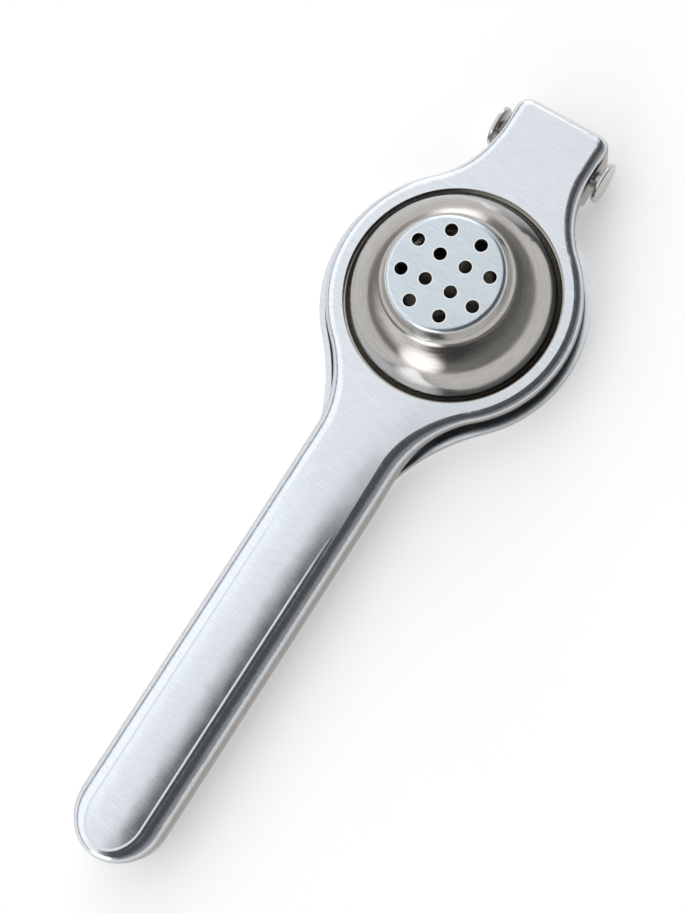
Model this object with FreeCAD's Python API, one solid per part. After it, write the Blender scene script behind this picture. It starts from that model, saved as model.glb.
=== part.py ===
import FreeCAD, Part
import math
import os

from FreeCAD import Vector

# Driving dimensions, in millimetres. Lengths along X are measured from the hoop's centre,
# and heights are measured from the top of the upper lever's web.
hoop_to_handle_tip = 161.4
hoop_to_hinge_end = 53.6
hoop_to_pin = 45.1
sheet_thickness = 1.5
drawn_thickness = 1.0

# Upper lever, which carries the strainer cup
strainer_hoop_radius = 32.1
strainer_handle_width = 23.8
strainer_tongue_width = 26.2
strainer_neck_length = 45.0
strainer_tongue_start = 42.6
tongue_corner_radius = 3.6
handle_shoulder = 4.4
tip_shoulder = 2.6
hoop_shoulder = 2.5
tongue_shoulder = 2.9
handle_crown_drop = 0.75
crown_fade_start = 66.0
crown_fade_end = 30.0
handle_skirt_depth = 8.2
hoop_skirt_depth = 4.0
skirt_ramp_start = 56.0
skirt_ramp_end = 30.0
skirt_ramp_rounding = 34.0
ear_radius = 5.9
ear_flare = 3.0
ear_front_rounding = 5.9
ear_rounding = 5.0
end_lip_depth = 5.2
end_lip_rounding = 2.0

# Strainer cup, drawn with a flat perforated disc
cup_hole_radius = 27.4
disc_height = 17.8
disc_radius = 14.3
disc_edge_radius = 1.3
disc_wall_foot_radius = 15.7
disc_wall_foot_height = 12.9
valley_radius = 3.2
flank_bend_radius = 18.0
flank_bend_inset = 4.2
flank_bend_height = 8.4
cup_flange_width = 2.4
cup_flange_bend = 0.3
cup_to_web_gap = 0.7
drain_hole_diameter = 3.2
outer_drain_ring_radius = 10.55
inner_drain_ring_radius = 4.85
outer_drain_count = 8
inner_drain_count = 4
drain_pattern_turn = 24.5

# Lower lever, which carries the press bowl
stack_depth = 14.0
press_hoop_radius = 34.2
press_neck_length = 60.0
press_tongue_start = 39.6
press_shoulder = 2.6
press_rim_height = 5.2
nesting_gap = 1.0
press_side_shift = 0.6
press_skirt_headroom = 3.4
press_ear_radius = 5.0
press_ear_flare = 2.5
press_ear_front_rounding = 2.5
press_ear_rounding = 4.4
press_tongue_past_pin = 2.0
press_handle_ramp_start = 63.0
press_handle_ramp_end = 75.0
press_ramp_rounding = 2.6

# Press bowl, drawn as a plunger that fits inside the cup
bowl_to_cup_gap = 2.9
bowl_draft = 1.2
bowl_shoulder_radius = 11.0
bowl_top_gap = 6.0
bowl_flange_width = 4.2
bowl_flange_bend = 0.3
press_hole_gap = 0.6

# Hinge pin
pin_depth = 7.5
pin_diameter = 4.5
pin_running_clearance = 0.08
pin_head_diameter = 10.6
pin_head_thickness = 1.2
pin_head_edge_radius = 0.35
pin_axial_play = 1.6
pin_tail_diameter = 3.2
pin_tail_fit = 0.02

# Values worked out from the driving dimensions
handle_half = strainer_handle_width / 2
tongue_half = strainer_tongue_width / 2
press_handle_half = handle_half - sheet_thickness - nesting_gap
press_tongue_half = tongue_half - sheet_thickness - nesting_gap
press_tip_length = hoop_to_handle_tip - sheet_thickness - nesting_gap
press_end_length = hoop_to_pin + press_ear_radius
pin_hole_radius = pin_diameter / 2 + pin_running_clearance
pin_height = -pin_depth
press_rim = press_rim_height - stack_depth
press_top = -sheet_thickness - press_skirt_headroom
wall_radius = cup_hole_radius - cup_to_web_gap
bowl_radius = wall_radius - drawn_thickness - bowl_to_cup_gap
bowl_top = disc_height - drawn_thickness - bowl_top_gap
pin_half_length = tongue_half + pin_axial_play
hoop_centre_x = (hoop_to_handle_tip - hoop_to_hinge_end) / 2
far = 2 * hoop_to_handle_tip

# How closely the crowned web's surface is set out, which is not a size of the object
crown_pole_spacing = 24.0


def arc(start, middle, end):
    return Part.Arc(start, middle, end).toShape()


def line(start, end):
    return Part.LineSegment(start, end).toShape()


def cylinder(radius, height, base, axis):
    return Part.makeCylinder(radius, height, base, axis)


def centred_arc(centre, radius, first_angle, last_angle):
    """An arc in the XY plane about a centre, from one angle to another, in degrees."""
    angles = [first_angle, (first_angle + last_angle) / 2, last_angle]
    points = []
    for angle in angles:
        turn = math.radians(angle)
        points.append(centre + Vector(radius * math.cos(turn), radius * math.sin(turn), 0))
    return arc(*points)


def blend_radius(hoop_radius, half_width, length):
    """Radius of the hollow arc that meets both the hoop and the straight side."""
    reach = length ** 2 + half_width ** 2 - hoop_radius ** 2
    return reach / (2 * (hoop_radius - half_width))


def half_outline(hoop_radius, tip_length, handle_side, neck, end_length, tongue_side, tongue, corner, inset):
    """Edges of one side of a lever, from the handle's tip round the hoop to the hinge end.

    Each hollow blend keeps its centre when the outline is inset, so the wall stays even.
    """
    neck_radius = blend_radius(hoop_radius, handle_side, neck)
    tongue_radius = blend_radius(hoop_radius, tongue_side, tongue)
    tip_centre = Vector(handle_side - tip_length, 0, 0)
    neck_centre = Vector(-neck, handle_side + neck_radius, 0)
    tongue_centre = Vector(tongue, tongue_side + tongue_radius, 0)
    corner_centre = Vector(end_length - corner, tongue_side - corner, 0)
    neck_angle = math.degrees(math.atan2(neck_centre.y, neck_centre.x))
    tongue_angle = math.degrees(math.atan2(tongue_centre.y, tongue_centre.x))
    side = handle_side - inset
    tongue_line = tongue_side - inset
    end = end_length - inset
    return [
        centred_arc(tip_centre, side, 180, 90),
        line(Vector(tip_centre.x, side, 0), Vector(-neck, side, 0)),
        centred_arc(neck_centre, neck_radius + inset, -90, neck_angle - 180),
        centred_arc(Vector(0, 0, 0), hoop_radius - inset, neck_angle, tongue_angle),
        centred_arc(tongue_centre, tongue_radius + inset, tongue_angle - 180, -90),
        line(Vector(tongue, tongue_line, 0), Vector(corner_centre.x, tongue_line, 0)),
        centred_arc(corner_centre, corner - inset, 90, 0),
        line(Vector(end, corner_centre.y, 0), Vector(end, 0, 0)),
    ]


def outline_face(edges):
    """A face closed by the half outline and its mirror image across the XZ plane."""
    mirrored = [edge.mirror(Vector(0, 0, 0), Vector(0, 1, 0)) for edge in edges]
    wire = Part.Wire(Part.__sortEdges__(edges + mirrored))
    return Part.Face(wire)


def flat_blank(edges, depth):
    """The outline extruded down by depth, under a flat top at height 0."""
    return outline_face(edges).extrude(Vector(0, 0, -depth))


def crown_share(x):
    """How much of the handle's crown there is at an X position: all of it, fading to none."""
    run = (-x - crown_fade_end) / (crown_fade_start - crown_fade_end)
    run = min(1.0, max(0.0, run))
    return run * run * (3 - 2 * run)


def crowned_blank(edges, depth):
    """The outline extruded down under a top that arches across the handle and flattens to the hoop.

    The top falls by the crown drop, times the square of the distance from the middle line over
    the distance to the ridge where the handle's shoulder starts. Across the lever that is a
    parabola, set by three poles. Along the lever the poles follow the crown's share.
    """
    ridge = handle_half - handle_shoulder
    side_reach = 2 * strainer_hoop_radius
    pole_count = 2 * math.ceil(far / crown_pole_spacing) + 1
    poles = []
    for number in range(pole_count):
        x = (number - (pole_count - 1) / 2) * crown_pole_spacing
        drop = handle_crown_drop * crown_share(x) * (side_reach / ridge) ** 2
        poles.append([Vector(x, -side_reach, -drop), Vector(x, 0, drop), Vector(x, side_reach, -drop)])
    degree = 3
    knots = list(range(pole_count - degree + 1))
    end_repeats = degree + 1
    repeats = [end_repeats] + [1] * (len(knots) - 2) + [end_repeats]
    surface = Part.BSplineSurface()
    surface.buildFromPolesMultsKnots(poles, repeats, [3, 3], knots, [0, 1], False, False, degree, 2)
    below_top = surface.toShape().extrude(Vector(0, 0, -far))
    prism = flat_blank(edges, depth + stack_depth)
    prism.translate(Vector(0, 0, stack_depth))
    return prism.common(below_top).Solids[0]


def with_shoulder(blank, radius_at):
    """Round the edges of a blank's top face.

    radius_at gives the rounding at an X position, so the shoulder can widen along the lever. The
    two radii of an edge are in the order of the chain, which runs the way of its first edge.
    """
    document = FreeCAD.newDocument()
    base = document.addObject("Part::Feature", "Base")
    base.Shape = blank
    rounding = document.addObject("Part::Fillet", "Rounding")
    rounding.Base = base
    top_face = max(blank.Faces, key=lambda face: face.CenterOfMass.z)
    chain_way = None
    chosen = []
    for index, edge in enumerate(blank.Edges, start=1):
        same = [top_edge for top_edge in top_face.Edges if edge.isSame(top_edge)]
        if same:
            way = same[0].Orientation
            chain_way = chain_way or way
            first = edge.valueAt(edge.FirstParameter)
            last = edge.valueAt(edge.LastParameter)
            if way != chain_way:
                first, last = last, first
            chosen.append((index, radius_at(first.x), radius_at(last.x)))
    rounding.Edges = chosen
    document.recompute()
    result = rounding.Shape.copy()
    FreeCAD.closeDocument(document.Name)
    return result


def rounded_path(points, radii):
    """Straight runs through the points, with an arc of the given radius at each inner point."""
    edges = []
    start = points[0]
    for before, corner, after, radius in zip(points, points[1:], points[2:], radii):
        to_before = (before - corner).normalize()
        to_after = (after - corner).normalize()
        half_angle = to_before.getAngle(to_after) / 2
        reach = radius / math.tan(half_angle)
        bisector = (to_before + to_after).normalize()
        centre = corner + bisector * (radius / math.sin(half_angle))
        arc_start = corner + to_before * reach
        arc_end = corner + to_after * reach
        edges.append(line(start, arc_start))
        edges.append(arc(arc_start, centre - bisector * radius, arc_end))
        start = arc_end
    edges.append(line(start, points[-1]))
    return edges


def side_cutter(path, floor):
    """Everything between a side-view path and a floor level, right through the lever's width."""
    first = path[0].Vertexes[0].Point
    last = path[-1].Vertexes[-1].Point
    corners = [last, Vector(last.x, 0, floor), Vector(first.x, 0, floor), first]
    closing = [line(start, end) for start, end in zip(corners, corners[1:])]
    face = Part.Face(Part.Wire(path + closing))
    block = face.extrude(Vector(0, far, 0))
    block.translate(Vector(0, -far / 2, 0))
    return block


def drawn_shell(outer_points, outer_radii, thickness):
    """Spin a sheet drawn to the outer path, with the sheet laid on the path's inner side."""
    path = Part.Wire(rounded_path(outer_points, outer_radii))
    sheet = path.makeOffset2D(-thickness, fill=True, openResult=True)
    return sheet.revolve(Vector(0, 0, 0), Vector(0, 0, 1), 360)


def strainer_shoulder(x):
    """Outer rounding along the top of the upper lever's skirt."""
    tip_start = handle_half - hoop_to_handle_tip
    if x < tip_start:
        to_tip = (tip_start - x) / handle_half
        return handle_shoulder + (tip_shoulder - handle_shoulder) * min(1.0, to_tip)
    if x < 1e-3 - strainer_neck_length:
        return handle_shoulder
    if x < strainer_tongue_start - 1e-3:
        return hoop_shoulder
    return tongue_shoulder


def strainer_edges(inset):
    return half_outline(strainer_hoop_radius, hoop_to_handle_tip, handle_half, strainer_neck_length,
                        hoop_to_hinge_end, tongue_half, strainer_tongue_start, tongue_corner_radius, inset)


def press_edges(inset):
    blank_end = press_end_length + 2 * tongue_corner_radius
    return half_outline(press_hoop_radius, press_tip_length, press_handle_half, press_neck_length,
                        blank_end, press_tongue_half, press_tongue_start, tongue_corner_radius, inset)


def pin_hole():
    """The round hole that the pin runs in, right across a lever's two ears."""
    start = Vector(hoop_to_pin, -far / 2, pin_height)
    return cylinder(pin_hole_radius, far, start, Vector(0, 1, 0))


def strainer_arm():
    """Upper lever: a crowned channel handle, hoop and eared tongue pressed from one sheet."""
    outer = with_shoulder(crowned_blank(strainer_edges(0), 2 * stack_depth), strainer_shoulder)
    inner = with_shoulder(crowned_blank(strainer_edges(sheet_thickness), 2 * stack_depth),
                          lambda x: strainer_shoulder(x) - sheet_thickness)
    inner.translate(Vector(0, 0, -sheet_thickness))
    arm = outer.cut(inner)
    ear_bottom = pin_height - ear_radius
    ear_front = hoop_to_pin - ear_radius
    ear_back = hoop_to_pin + ear_radius
    path = rounded_path(
        [
            Vector(-far, 0, -handle_skirt_depth),
            Vector(-skirt_ramp_start, 0, -handle_skirt_depth),
            Vector(-skirt_ramp_end, 0, -hoop_skirt_depth),
            Vector(ear_front - ear_flare, 0, -hoop_skirt_depth),
            Vector(ear_front, 0, ear_bottom),
            Vector(ear_back, 0, ear_bottom),
            Vector(hoop_to_hinge_end, 0, -end_lip_depth),
            Vector(far, 0, -end_lip_depth),
        ],
        [skirt_ramp_rounding, skirt_ramp_rounding, ear_front_rounding, ear_rounding, ear_rounding,
         end_lip_rounding],
    )
    arm = arm.cut(side_cutter(path, -far))
    arm = arm.cut(space_between_ears())
    arm = arm.cut(cylinder(cup_hole_radius, stack_depth, Vector(0, 0, -stack_depth / 2), Vector(0, 0, 1)))
    return arm.cut(pin_hole())


def space_between_ears():
    """Room under the end lip, so that only the ears reach down past it to the pin."""
    inner_half = tongue_half - sheet_thickness
    corner = Vector(hoop_to_pin, -inner_half, -end_lip_depth - far)
    return Part.makeBox(far, 2 * inner_half, far, corner)


def strainer_cup():
    """Drawn cup with a flat perforated disc, its flange seated under the upper lever's web."""
    flange_top = -sheet_thickness
    cup = drawn_shell(
        [
            Vector(0, 0, disc_height),
            Vector(disc_radius, 0, disc_height),
            Vector(disc_wall_foot_radius, 0, disc_wall_foot_height),
            Vector(wall_radius - flank_bend_inset, 0, flank_bend_height),
            Vector(wall_radius, 0, flange_top),
            Vector(wall_radius + cup_flange_width, 0, flange_top),
        ],
        [disc_edge_radius, valley_radius, flank_bend_radius, cup_flange_bend],
        drawn_thickness,
    )
    for hole in drain_holes():
        cup = cup.cut(hole)
    return cup


def drain_holes():
    """Two rings of holes through the disc, the inner ring set between the outer ring's holes."""
    holes = []
    half_step = 180 / outer_drain_count
    rings = [
        (outer_drain_count, outer_drain_ring_radius, drain_pattern_turn),
        (inner_drain_count, inner_drain_ring_radius, drain_pattern_turn + half_step),
    ]
    for count, ring_radius, first_angle in rings:
        for step in range(count):
            turn = math.radians(first_angle + 360 * step / count)
            centre = Vector(ring_radius * math.cos(turn), ring_radius * math.sin(turn), 0)
            holes.append(cylinder(drain_hole_diameter / 2, 2 * disc_height, centre, Vector(0, 0, 1)))
    return holes


def press_arm():
    """Lower lever: the same kind of channel, turned open side up and nested in the upper one.

    It lies a little to one side, within the hinge's side play, as levers on a loose pin do.
    """
    outer = with_shoulder(flat_blank(press_edges(0), 2 * stack_depth), lambda x: press_shoulder)
    inner = with_shoulder(flat_blank(press_edges(sheet_thickness), 2 * stack_depth),
                          lambda x: press_shoulder - sheet_thickness)
    inner.translate(Vector(0, 0, -sheet_thickness))
    arm = outer.cut(inner)
    arm = arm.mirror(Vector(0, 0, 0), Vector(0, 0, 1))
    arm.translate(Vector(0, 0, -stack_depth))
    ear_top = pin_height + press_ear_radius
    ear_front = hoop_to_pin - press_ear_radius
    path = rounded_path(
        [
            Vector(-far, 0, press_top),
            Vector(-press_handle_ramp_end, 0, press_top),
            Vector(-press_handle_ramp_start, 0, press_rim),
            Vector(ear_front - press_ear_flare, 0, press_rim),
            Vector(ear_front, 0, ear_top),
            Vector(press_end_length, 0, ear_top),
            Vector(press_end_length, 0, -2 * stack_depth),
            Vector(far, 0, -2 * stack_depth),
        ],
        [press_ramp_rounding, press_ramp_rounding, press_ear_front_rounding, press_ear_rounding,
         press_ear_rounding, press_ramp_rounding],
    )
    arm = arm.cut(side_cutter(path, far))
    arm = arm.cut(press_tongue_relief())
    hole_radius = bowl_radius + press_hole_gap
    arm = arm.cut(cylinder(hole_radius, stack_depth, Vector(0, 0, -1.5 * stack_depth), Vector(0, 0, 1)))
    arm.translate(Vector(0, press_side_shift, 0))
    return arm.cut(pin_hole())


def press_tongue_relief():
    """Space below the pin and past the lower web's end, which leaves the ears round."""
    tongue_end = hoop_to_pin + press_tongue_past_pin
    block = Part.makeBox(far, far, far, Vector(tongue_end, -far / 2, pin_height - far))
    ear_start = Vector(hoop_to_pin, -far / 2, pin_height)
    return block.cut(cylinder(press_ear_radius, far, ear_start, Vector(0, 1, 0)))


def press_bowl():
    """Drawn plunger with a domed top, its flange seated on the lower lever's web."""
    flange_top = drawn_thickness + sheet_thickness - stack_depth
    crown_radius = bowl_radius - bowl_draft
    bowl = drawn_shell(
        [
            Vector(0, 0, bowl_top),
            Vector(crown_radius, 0, bowl_top),
            Vector(bowl_radius, 0, flange_top),
            Vector(bowl_radius + bowl_flange_width, 0, flange_top),
        ],
        [bowl_shoulder_radius, bowl_flange_bend],
        drawn_thickness,
    )
    bowl.translate(Vector(0, press_side_shift, 0))
    return bowl


def hinge_pin():
    """Shank with one flat head, turned down at its far end for the second head."""
    start = Vector(hoop_to_pin, -pin_half_length, pin_height)
    along = Vector(0, 1, 0)
    shank = cylinder(pin_diameter / 2, 2 * pin_half_length, start, along)
    tail = cylinder(pin_tail_diameter / 2, 2 * pin_half_length + pin_head_thickness, start, along)
    return shank.fuse([tail, pin_head(-1)]).removeSplitter()


def pin_head(side):
    """A flat round head with softened rims, outside the ear on one side."""
    inner_face = side * pin_half_length
    start = Vector(hoop_to_pin, min(inner_face, inner_face + side * pin_head_thickness), pin_height)
    head = cylinder(pin_head_diameter / 2, pin_head_thickness, start, Vector(0, 1, 0))
    rims = [edge for edge in head.Edges if len(edge.Vertexes) == 1]
    return head.makeFillet(pin_head_edge_radius, rims)


def hinge_pin_end_head():
    """The second head, closed over the pin's turned-down tail."""
    bore_start = Vector(hoop_to_pin, 0, pin_height)
    bore = cylinder(pin_tail_diameter / 2 + pin_tail_fit, far, bore_start, Vector(0, 1, 0))
    return pin_head(1).cut(bore)


def save(name, shape):
    """Stand the piece in the part's own frame, then write its file."""
    placed = shape.copy()
    placed.translate(Vector(hoop_centre_x, 0, stack_depth))
    if not placed.isValid():
        print("not valid:", name)
    print(name, len(placed.Solids), round(placed.Volume, 2))
    placed.exportStep(os.path.join("parts", name + ".step"))


os.makedirs("parts", exist_ok=True)
save("strainer_arm", strainer_arm())
save("strainer_cup", strainer_cup())
save("press_arm", press_arm())
save("press_bowl", press_bowl())
save("hinge_pin", hinge_pin())
save("hinge_pin_end_head", hinge_pin_end_head())
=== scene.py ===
import bmesh
import bpy
import numpy as np
from math import pi, radians
from mathutils import Matrix, Vector


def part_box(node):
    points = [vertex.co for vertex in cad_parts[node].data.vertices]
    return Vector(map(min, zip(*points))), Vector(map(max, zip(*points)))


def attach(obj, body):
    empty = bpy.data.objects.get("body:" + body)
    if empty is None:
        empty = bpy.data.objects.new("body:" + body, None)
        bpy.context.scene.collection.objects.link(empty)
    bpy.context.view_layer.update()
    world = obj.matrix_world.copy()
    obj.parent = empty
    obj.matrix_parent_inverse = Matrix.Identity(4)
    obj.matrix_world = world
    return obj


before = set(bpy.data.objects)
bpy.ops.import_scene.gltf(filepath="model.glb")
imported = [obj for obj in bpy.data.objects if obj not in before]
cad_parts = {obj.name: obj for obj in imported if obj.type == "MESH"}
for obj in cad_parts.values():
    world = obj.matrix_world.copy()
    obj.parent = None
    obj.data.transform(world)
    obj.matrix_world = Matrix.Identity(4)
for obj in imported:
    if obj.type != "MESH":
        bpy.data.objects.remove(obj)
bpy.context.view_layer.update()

scene = bpy.context.scene
scene.view_settings.view_transform = "Standard"

# The camera stands where the photograph was taken: above the handle and a little to its
# right, nearly square to the cup's disc, with the hinge at the top of the frame.
camera_place = Vector((-0.018218, -0.084073, 0.370356))
camera_right = Vector((0.542463, -0.824649, -0.160277)).normalized()
camera_up = Vector((0.837538, 0.516055, 0.179492))
focal_length_pixels = 1506.7
frame_height_pixels = 913.0
camera_data = bpy.data.cameras.new("camera")
camera_data.sensor_width = 36.0
camera_data.lens = focal_length_pixels * camera_data.sensor_width / frame_height_pixels
camera_data.clip_start = 0.01
camera = bpy.data.objects.new("camera", camera_data)
scene.collection.objects.link(camera)
camera_back = camera_right.cross(camera_up).normalized()
camera_up = camera_back.cross(camera_right)
camera.matrix_world = Matrix.Translation(camera_place) @ Matrix(
    (camera_right, camera_up, camera_back)).transposed().to_4x4()
scene.camera = camera


# Strainer lever: one pressing of stainless sheet, brushed straight across its width. Its web
# is pale and cool, and its rolled skirts carry a painted shade, a duller and warmer colour that
# stands in for the shaded floor they reflect. The cup is set in its hoop.
def new_material(name):
    """A material with its node tree, its Principled shader and the object's own coordinates."""
    material = bpy.data.materials.new(name)
    material.use_nodes = True
    tree = material.node_tree
    coordinates = tree.nodes.new("ShaderNodeTexCoord")
    return material, tree, tree.nodes["Principled BSDF"], coordinates


def calculate(tree, operation, *values):
    """One Math node on numbers or sockets, and its result."""
    node = tree.nodes.new("ShaderNodeMath")
    node.operation = operation
    for socket, value in zip(node.inputs, values):
        if isinstance(value, (int, float)):
            socket.default_value = value
        else:
            tree.links.new(value, socket)
    return node.outputs[0]


def separated(tree, vector):
    """The X, Y and Z of a vector."""
    node = tree.nodes.new("ShaderNodeSeparateXYZ")
    tree.links.new(vector, node.inputs["Vector"])
    return node.outputs


def combined(tree, *values):
    """A vector from three numbers or sockets."""
    node = tree.nodes.new("ShaderNodeCombineXYZ")
    for socket, value in zip(node.inputs, values):
        if isinstance(value, (int, float)):
            socket.default_value = value
        else:
            tree.links.new(value, socket)
    return node.outputs["Vector"]


def noise_at(tree, place, scale, detail):
    """Noise read at a place times a scale for each axis: a small scale draws it out."""
    mapping = tree.nodes.new("ShaderNodeMapping")
    mapping.inputs["Scale"].default_value = scale
    tree.links.new(place, mapping.inputs["Vector"])
    noise = tree.nodes.new("ShaderNodeTexNoise")
    noise.inputs["Scale"].default_value = 1.0
    noise.inputs["Detail"].default_value = detail
    tree.links.new(mapping.outputs["Vector"], noise.inputs["Vector"])
    return noise.outputs["Fac"]


def between(tree, value, low, high, from_low=0.3, from_high=0.7):
    """A value carried from one range, noise's usual one if none is given, and held at the ends."""
    node = tree.nodes.new("ShaderNodeMapRange")
    node.inputs["From Min"].default_value = from_low
    node.inputs["From Max"].default_value = from_high
    node.inputs["To Min"].default_value = low
    node.inputs["To Max"].default_value = high
    tree.links.new(value, node.inputs["Value"])
    return node.outputs["Result"]


def mixed(tree, share, first, second, kind="RGBA"):
    """A colour or a number between two, by a share from 0 to 1.

    The Mix node takes two numbers at its inputs 2 and 3 and gives output 0, and it takes two
    colours at its inputs 6 and 7 and gives output 2.
    """
    node = tree.nodes.new("ShaderNodeMix")
    node.data_type = kind
    first_input, result = (6, 2) if kind == "RGBA" else (2, 0)
    tree.links.new(share, node.inputs[0])
    for socket, value in zip(node.inputs[first_input:first_input + 2], (first, second)):
        if isinstance(value, (int, float, tuple)):
            socket.default_value = value
        else:
            tree.links.new(value, socket)
    return node.outputs[result]


def shaded(tree, shader, colour, shade):
    """Give the shader a colour times a shade."""
    node = tree.nodes.new("ShaderNodeVectorMath")
    node.operation = "SCALE"
    tree.links.new(colour, node.inputs["Vector"])
    tree.links.new(shade, node.inputs["Scale"])
    tree.links.new(node.outputs["Vector"], shader.inputs["Base Color"])


def bumped(tree, height, depth):
    """A normal from a height of 0 to 1 and a depth in metres."""
    bump = tree.nodes.new("ShaderNodeBump")
    bump.inputs["Strength"].default_value = 1.0
    bump.inputs["Distance"].default_value = depth
    tree.links.new(height, bump.inputs["Height"])
    return bump.outputs["Normal"]


fine_scale = (6.0, 0.30, 0.30)
streak_scale = (2.6, 0.16, 0.16)
cloud_scale = (0.35, 0.05, 0.05)
streak_from = 0.60
streak_full_at = 0.78


def grain_group():
    """The grain of abraded steel, from a place in millimetres with X across it and Y along it.

    Fine is a field of hair lines, Streak is a few longer bright ones, and Cloud is the slow
    change from one stroke of the belt to the next. Each is noise drawn out along Y.
    """
    group = bpy.data.node_groups.new("steel_grain", "ShaderNodeTree")
    group.interface.new_socket("Place", in_out="INPUT", socket_type="NodeSocketVector")
    for name in ("Fine", "Streak", "Cloud"):
        group.interface.new_socket(name, in_out="OUTPUT", socket_type="NodeSocketFloat")
    place = group.nodes.new("NodeGroupInput").outputs["Place"]
    end = group.nodes.new("NodeGroupOutput")
    group.links.new(noise_at(group, place, fine_scale, detail=3.0), end.inputs["Fine"])
    streak_noise = noise_at(group, place, streak_scale, detail=2.0)
    streak = between(group, streak_noise, 0.0, 1.0, streak_from, streak_full_at)
    group.links.new(streak, end.inputs["Streak"])
    group.links.new(noise_at(group, place, cloud_scale, detail=1.0), end.inputs["Cloud"])
    return group


steel_grain = grain_group()


def grain_at(tree, place):
    """The steel grain's three masks at a place."""
    node = tree.nodes.new("ShaderNodeGroup")
    node.node_tree = steel_grain
    tree.links.new(place, node.inputs["Place"])
    return node.outputs["Fine"], node.outputs["Streak"], node.outputs["Cloud"]


to_millimetres = 1000.0
web_steel = (0.76, 0.81, 0.86, 1)
# Painted shade: the skirts' darker, warmer steel stands in for the shaded floor they reflect.
skirt_painted_shade = (0.35, 0.33, 0.31, 1)
painted_shade_up_to = 0.30
web_from = 0.75
sheet_shade = (0.90, 1.04)
sheet_streak_gain = 0.10
sheet_roughness = (0.18, 0.23)
sheet_roughness_drift = (-0.02, 0.02)
sheet_scratch_depth = 0.0000045


def brushed_sheet_with_painted_shade(name):
    """Brushed sheet steel with a painted shade where the sheet bends down.

    The share of the web's colour grows with the size of the surface normal's Z, and on steep
    faces the colour is the skirt's painted shade.
    """
    material, tree, shader, coordinates = new_material(name)
    place = tree.nodes.new("ShaderNodeVectorMath")
    place.operation = "SCALE"
    tree.links.new(coordinates.outputs["Object"], place.inputs["Vector"])
    place.inputs["Scale"].default_value = to_millimetres
    fine, streak, cloud = grain_at(tree, place.outputs["Vector"])
    upright = calculate(tree, "ABSOLUTE", separated(tree, coordinates.outputs["Normal"])["Z"])
    # Painted shade: faces that turn down from upright take the skirt's darker colour.
    out_of_painted_shade = between(tree, upright, 0.0, 1.0, painted_shade_up_to, web_from)
    shade = calculate(tree, "ADD", between(tree, fine, *sheet_shade),
                      calculate(tree, "MULTIPLY", streak, sheet_streak_gain))
    shaded(tree, shader, mixed(tree, out_of_painted_shade, skirt_painted_shade, web_steel), shade)
    shader.inputs["Metallic"].default_value = 1.0
    roughness = calculate(tree, "ADD", between(tree, fine, *sheet_roughness),
                          between(tree, cloud, *sheet_roughness_drift))
    tree.links.new(roughness, shader.inputs["Roughness"])
    tree.links.new(bumped(tree, fine, sheet_scratch_depth), shader.inputs["Normal"])
    return material


def dress(node, material):
    """Put a material on a CAD node."""
    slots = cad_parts[node].data.materials
    slots.clear()
    slots.append(material)


lever_steel = brushed_sheet_with_painted_shade("strainer_lever_steel")
dress("strainer_arm", lever_steel)

# Raised line of the handle: the press tool leaves a fine bead where the crowned top turns down
# into the shoulder. It is part of the lever's own sheet: it runs up one side of the handle,
# round the tip and back along the other side, and dies away before the neck.
ridge_end = -0.004
ridge_full_from = -0.030
ridge_offset = 0.0075
tip_centre = -0.0956
tip_length = 0.0093
bead_half_width = 0.0009
bead_height = 0.00012
bead_edge_depth = 0.00003
bead_root_depth = 0.00015
drop_height = 0.020
straight_points = 93
tip_points = 61
bead_points = 17


def top_of(node, x, y):
    """The height of a CAD node's top under each place, from a sheet of points dropped on it."""
    places = np.stack((x, y, np.full_like(x, drop_height)), axis=-1).reshape(-1, 3)
    sheet = bpy.data.meshes.new("sheet")
    sheet.from_pydata(places, [], [])
    dropped = bpy.data.objects.new("sheet", sheet)
    scene.collection.objects.link(dropped)
    fall = dropped.modifiers.new("fall", "SHRINKWRAP")
    fall.wrap_method = "PROJECT"
    fall.use_project_z = True
    fall.use_positive_direction = False
    fall.use_negative_direction = True
    fall.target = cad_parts[node]
    settled = dropped.evaluated_get(bpy.context.evaluated_depsgraph_get()).to_mesh()
    landed = np.empty(places.size)
    settled.vertices.foreach_get("co", landed)
    bpy.data.objects.remove(dropped)
    bpy.data.meshes.remove(sheet)
    return landed.reshape(-1, 3)[:, 2].reshape(x.shape)


def raised_line():
    """Points of the bead, ring by ring along its path.

    The path is a straight line, half an ellipse round the tip, and a straight line back. Across
    it the height over the lever is a squared cosine, which sinks just under the sheet at both
    edges and is closed below, and along it the height dies away between two places on X.
    """
    straight = np.linspace(ridge_end, tip_centre, straight_points)[:-1]
    turn = np.linspace(0, pi, tip_points)
    side = np.full_like(straight, ridge_offset)
    x = np.concatenate((straight, tip_centre - tip_length * np.sin(turn), straight[::-1]))
    y = np.concatenate((side, ridge_offset * np.cos(turn), -side))
    step_x, step_y = np.gradient(x), np.gradient(y)
    step = np.hypot(step_x, step_y)
    across = np.linspace(-bead_half_width, bead_half_width, bead_points)
    grid_x = x[:, None] + across * (step_y / step)[:, None]
    grid_y = y[:, None] - across * (step_x / step)[:, None]
    sheet_top = top_of("strainer_arm", grid_x, grid_y)
    fade = np.clip((ridge_end - x) / (ridge_end - ridge_full_from), 0, 1)[:, None]
    rise = fade * bead_height * np.cos(pi * across / (2 * bead_half_width)) ** 2
    top = np.stack((grid_x, grid_y, sheet_top + rise - bead_edge_depth), axis=-1)
    root = np.stack((grid_x, grid_y, sheet_top - bead_root_depth), axis=-1)
    return np.concatenate((top, root[:, ::-1]), axis=1)


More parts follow.
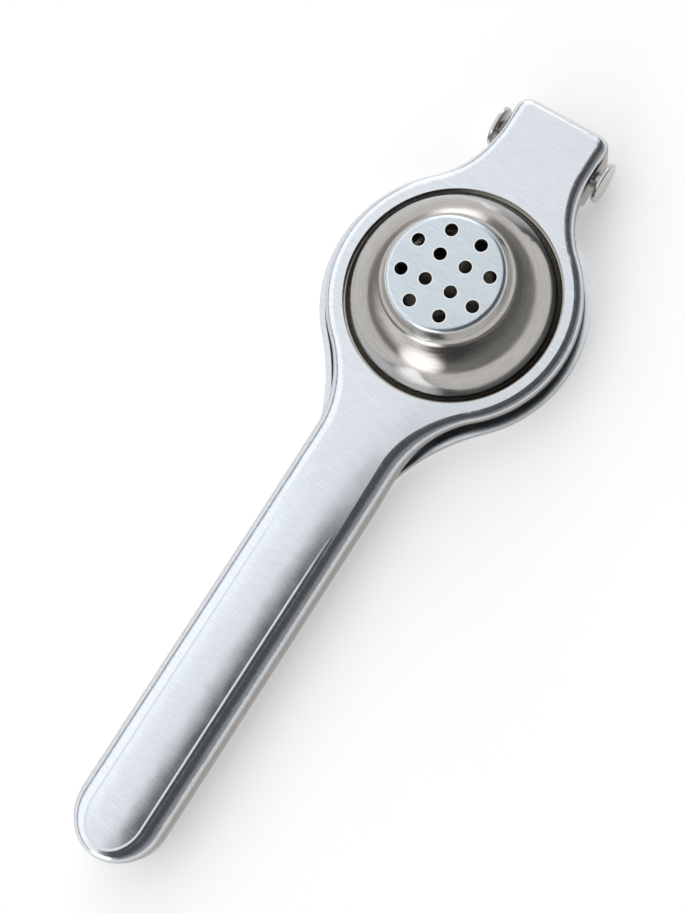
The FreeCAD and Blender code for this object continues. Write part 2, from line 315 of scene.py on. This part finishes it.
def closed_tube(name, rings):
    """A mesh of rings joined one to the next, with a face across each end and faces outwards."""
    count, size = rings.shape[:2]
    first = np.arange(count - 1)[:, None] * size
    place = np.arange(size)
    after = (place + 1) % size
    sides = np.stack((first + place, first + after, first + size + after, first + size + place), axis=-1)
    ends = [list(range(size)), list(range((count - 1) * size, count * size))]
    mesh = bpy.data.meshes.new(name)
    mesh.from_pydata(rings.reshape(-1, 3), [], sides.reshape(-1, 4).tolist() + ends)
    turned = bmesh.new()
    turned.from_mesh(mesh)
    bmesh.ops.recalc_face_normals(turned, faces=turned.faces)
    turned.to_mesh(mesh)
    turned.free()
    mesh.shade_smooth()
    return mesh


ridge_mesh = closed_tube("handle_raised_line", raised_line())
ridge_mesh.materials.append(lever_steel)
ridge = bpy.data.objects.new("handle_raised_line", ridge_mesh)
scene.collection.objects.link(ridge)
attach(ridge, "strainer_lever")

# Strainer cup: drawn from thinner sheet, pierced with twelve drain holes, and polished while
# it spins, so its grain runs round the axis. Its flat disc keeps the sheet's straight grain.
# Its flank carries a painted shade, darker and warmer than the disc, and each drain hole has a
# painted highlight round its edge.
hoop_centre = 0.0539
disc_edge_depth = 0.0006
disc_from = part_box("strainer_cup")[1][2] - disc_edge_depth
# Painted shade: the flank's darker, warmer steel stands in for the shaded room it reflects.
flank_painted_shade = (0.47, 0.452, 0.425, 1)
disc_steel = (0.69, 0.76, 0.82, 1)
# Painted highlight: a near-white ring round each drain hole.
hole_rim_painted_highlight = (0.95, 0.96, 0.97, 1)
least_radius = 0.001
spun_line_scale = 0.35
spun_turn_radius = 20.0
drawn_shade = (0.86, 1.05)
drawn_streak_gain = 0.12
flank_roughness = (0.13, 0.20)
disc_roughness = (0.25, 0.30)
drawn_scratch_depth = 0.000008
hole_radius = 1.6
hole_rim_width = 0.32
# Each ring of holes is a count, a radius in millimetres and the first hole's angle in degrees.
hole_rings = ((8, 10.55, 24.5), (4, 4.85, 47.0))


def hole_rim_painted_highlights(tree, radius, angle):
    """1 on the painted highlight round each drain hole's edge, from the disc's polar place.

    Every ring's angle is folded onto its nearest hole, and the distance to that hole's centre
    follows from the two radii and the folded angle by the law of cosines.
    """
    painted_rims = 0.0
    for count, ring_radius, first_angle in hole_rings:
        half_step = pi / count
        turned = calculate(tree, "SUBTRACT", angle, radians(first_angle) - half_step)
        in_step = calculate(tree, "FLOORED_MODULO", turned, 2 * half_step)
        folded = calculate(tree, "SUBTRACT", in_step, half_step)
        beside = calculate(tree, "MULTIPLY", calculate(tree, "COSINE", folded),
                           calculate(tree, "MULTIPLY", radius, -2 * ring_radius))
        squares = calculate(tree, "ADD", calculate(tree, "MULTIPLY", radius, radius), ring_radius ** 2)
        distance = calculate(tree, "SQRT", calculate(tree, "ADD", squares, beside))
        painted_rim = between(tree, distance, 1.0, 0.0, from_low=hole_radius + hole_rim_width / 2,
                      from_high=hole_radius + hole_rim_width)
        painted_rims = calculate(tree, "MAXIMUM", painted_rims, painted_rim)
    return painted_rims


def drawn_steel_with_painted_shade(name, disc_height, with_holes):
    """Spun steel round the hoop's axis, with straight grain above a height and a painted shade below it.

    The spun grain is read across it at the distance from the axis less the height, and along
    it at the direction from the axis times a fixed radius.
    """
    material, tree, shader, coordinates = new_material(name)
    x, y, z = separated(tree, coordinates.outputs["Object"])
    from_axis = calculate(tree, "SUBTRACT", x, hoop_centre)
    squares = calculate(tree, "ADD", calculate(tree, "MULTIPLY", from_axis, from_axis),
                        calculate(tree, "MULTIPLY", y, y))
    radius = calculate(tree, "MAXIMUM", least_radius, calculate(tree, "SQRT", squares))
    down_the_side = calculate(tree, "MULTIPLY", calculate(tree, "SUBTRACT", radius, z),
                              to_millimetres * spun_line_scale)
    round_x = calculate(tree, "MULTIPLY", calculate(tree, "DIVIDE", from_axis, radius), spun_turn_radius)
    round_y = calculate(tree, "MULTIPLY", calculate(tree, "DIVIDE", y, radius), spun_turn_radius)
    spun_fine, spun_streak, spun_cloud = grain_at(tree, combined(tree, down_the_side, round_x, round_y))
    flat = combined(tree, calculate(tree, "MULTIPLY", x, to_millimetres),
                    calculate(tree, "MULTIPLY", y, to_millimetres), 0.0)
    flat_fine, flat_streak, flat_cloud = grain_at(tree, flat)
    on_disc = calculate(tree, "GREATER_THAN", z, disc_height)
    fine = mixed(tree, on_disc, spun_fine, flat_fine, "FLOAT")
    streak = mixed(tree, on_disc, spun_streak, flat_streak, "FLOAT")
    shade = calculate(tree, "ADD", between(tree, fine, *drawn_shade),
                      calculate(tree, "MULTIPLY", streak, drawn_streak_gain))
    # Painted shade below the disc, in the flank's darker colour.
    colour = mixed(tree, on_disc, flank_painted_shade, disc_steel)
    # Painted highlight round each drain hole.
    if with_holes:
        painted_rims = hole_rim_painted_highlights(tree, calculate(tree, "MULTIPLY", radius, to_millimetres),
                         calculate(tree, "ARCTAN2", y, from_axis))
        colour = mixed(tree, calculate(tree, "MULTIPLY", painted_rims, on_disc), colour, hole_rim_painted_highlight)
    shaded(tree, shader, colour, shade)
    shader.inputs["Metallic"].default_value = 1.0
    roughness = mixed(tree, on_disc, between(tree, spun_cloud, *flank_roughness),
                      between(tree, flat_cloud, *disc_roughness), "FLOAT")
    tree.links.new(roughness, shader.inputs["Roughness"])
    tree.links.new(bumped(tree, fine, drawn_scratch_depth), shader.inputs["Normal"])
    return material


dress("strainer_cup", drawn_steel_with_painted_shade("strainer_cup_steel", disc_from, with_holes=True))

# Press lever: the lower pressing, of the same brushed sheet with the same painted shade on its
# skirts, without the handle's raised line. It nests under the strainer lever, and only its edge
# and its hoop show from above.
dress("press_arm", brushed_sheet_with_painted_shade("press_lever_steel"))

# Press bowl: the drawn bowl that pushes the fruit through the cup. It is spun bright all over
# and wears the cup flank's painted shade all over, so the height where straight grain and the
# disc's colour would start lies far above it, and its flange is fixed in the press lever's hoop.
above_the_bowl = 1.0
dress("press_bowl", drawn_steel_with_painted_shade("press_bowl_steel", above_the_bowl, with_holes=False))

# Hinge pin and the head closed on its far end: turned from bar and riveted over, with fine
# marks from the tool that are closer along the pin than across it.
pin_pale = (0.74, 0.73, 0.72, 1)
pin_dull = (0.52, 0.51, 0.49, 1)
tool_mark_scale = (900.0, 2500.0, 900.0)
pin_roughness = (0.18, 0.30)
tool_mark_depth = 0.000006
pin_steel, tree, shader, coordinates = new_material("pin_steel")
tool_marks = noise_at(tree, coordinates.outputs["Object"], tool_mark_scale, detail=3.0)
tree.links.new(mixed(tree, tool_marks, pin_dull, pin_pale), shader.inputs["Base Color"])
shader.inputs["Metallic"].default_value = 1.0
tree.links.new(between(tree, tool_marks, *pin_roughness), shader.inputs["Roughness"])
tree.links.new(bumped(tree, tool_marks, tool_mark_depth), shader.inputs["Normal"])
dress("hinge_pin", pin_steel)
dress("hinge_pin_end_head", pin_steel)

# Floor: a plain pale sheet. It keeps the object's soft shadow, and the camera and the steel
# both see it lifted to white.
floor_reach = 30.0
floor_grey = (0.92, 0.92, 0.92, 1)
floor_glow = 0.42
white = (1, 1, 1, 1)
floor_corners = [(-floor_reach, -floor_reach, 0), (floor_reach, -floor_reach, 0),
                 (floor_reach, floor_reach, 0), (-floor_reach, floor_reach, 0)]
floor_mesh = bpy.data.meshes.new("floor")
floor_mesh.from_pydata(floor_corners, [], [(0, 1, 2, 3)])
floor = bpy.data.objects.new("floor", floor_mesh)
scene.collection.objects.link(floor)
floor_paint, tree, shader, coordinates = new_material("floor_paint")
shader.inputs["Base Color"].default_value = floor_grey
shader.inputs["Roughness"].default_value = 1.0
shader.inputs["Specular IOR Level"].default_value = 0.0
shader.inputs["Emission Color"].default_value = white
rays = tree.nodes.new("ShaderNodeLightPath").outputs
seen = calculate(tree, "MAXIMUM", rays["Is Camera Ray"],
                 calculate(tree, "MAXIMUM", rays["Is Glossy Ray"], rays["Is Transmission Ray"]))
tree.links.new(calculate(tree, "MULTIPLY", seen, floor_glow), shader.inputs["Emission Strength"])
floor_mesh.materials.append(floor_paint)

# Studio: a pale room, lit from the left of the handle, with an unlit part of the ceiling to
# its right. Under the ceiling come a dim low wall and, down to the horizon, a pale backdrop,
# and two softboxes stand off the squeezer's two ends.
# Each step is an angle from overhead in degrees, towards the left, and a level.
studio_steps = ((-90, 0.45), (-62, 0.25), (-44, 0.08), (-6, 0.08),
                (8, 0.99), (24, 0.97), (36, 1.22), (90, 1.22))
brightest = 1.22
least_rise = 0.0001
low_wall_level = 0.30
low_wall_top = (0.24, 0.42)
backdrop_level = 0.97
backdrop_top = (0.04, 0.07)
softbox_level = 2.5
softbox_edge = (0.93, 0.98)
softbox_directions = (Vector((-1.0, -0.04, 0.26)), Vector((0.84, 0.52, 0.26)))
world = bpy.data.worlds.new("studio")
world.use_nodes = True
scene.world = world
tree = world.node_tree
direction = tree.nodes.new("ShaderNodeTexCoord").outputs["Generated"]
x, y, z = separated(tree, direction)
angle = calculate(tree, "ARCTAN2", y, calculate(tree, "MAXIMUM", z, least_rise))
ceiling = tree.nodes.new("ShaderNodeValToRGB")
tree.links.new(calculate(tree, "MULTIPLY_ADD", angle, 1 / pi, 0.5), ceiling.inputs["Fac"])
stops = ceiling.color_ramp.elements
for degrees, _ in studio_steps[1:-1]:
    stops.new(degrees / 180 + 0.5)
for stop, (_, level) in zip(stops, studio_steps):
    stop.color = (level / brightest, level / brightest, level / brightest, 1)
ceiling_level = calculate(tree, "MULTIPLY", ceiling.outputs["Color"], brightest)
over_low_wall = between(tree, z, 0.0, 1.0, *low_wall_top)
over_backdrop = between(tree, z, 0.0, 1.0, *backdrop_top)
walls = mixed(tree, over_backdrop, backdrop_level, low_wall_level, "FLOAT")
room = mixed(tree, over_low_wall, walls, ceiling_level, "FLOAT")
for softbox in softbox_directions:
    facing = tree.nodes.new("ShaderNodeVectorMath")
    facing.operation = "DOT_PRODUCT"
    tree.links.new(direction, facing.inputs[0])
    facing.inputs[1].default_value = softbox.normalized()
    in_softbox = between(tree, facing.outputs["Value"], 0.0, 1.0, *softbox_edge)
    room = mixed(tree, in_softbox, room, softbox_level, "FLOAT")
tree.links.new(room, tree.nodes["Background"].inputs["Strength"])
tree.nodes["Background"].inputs["Color"].default_value = white
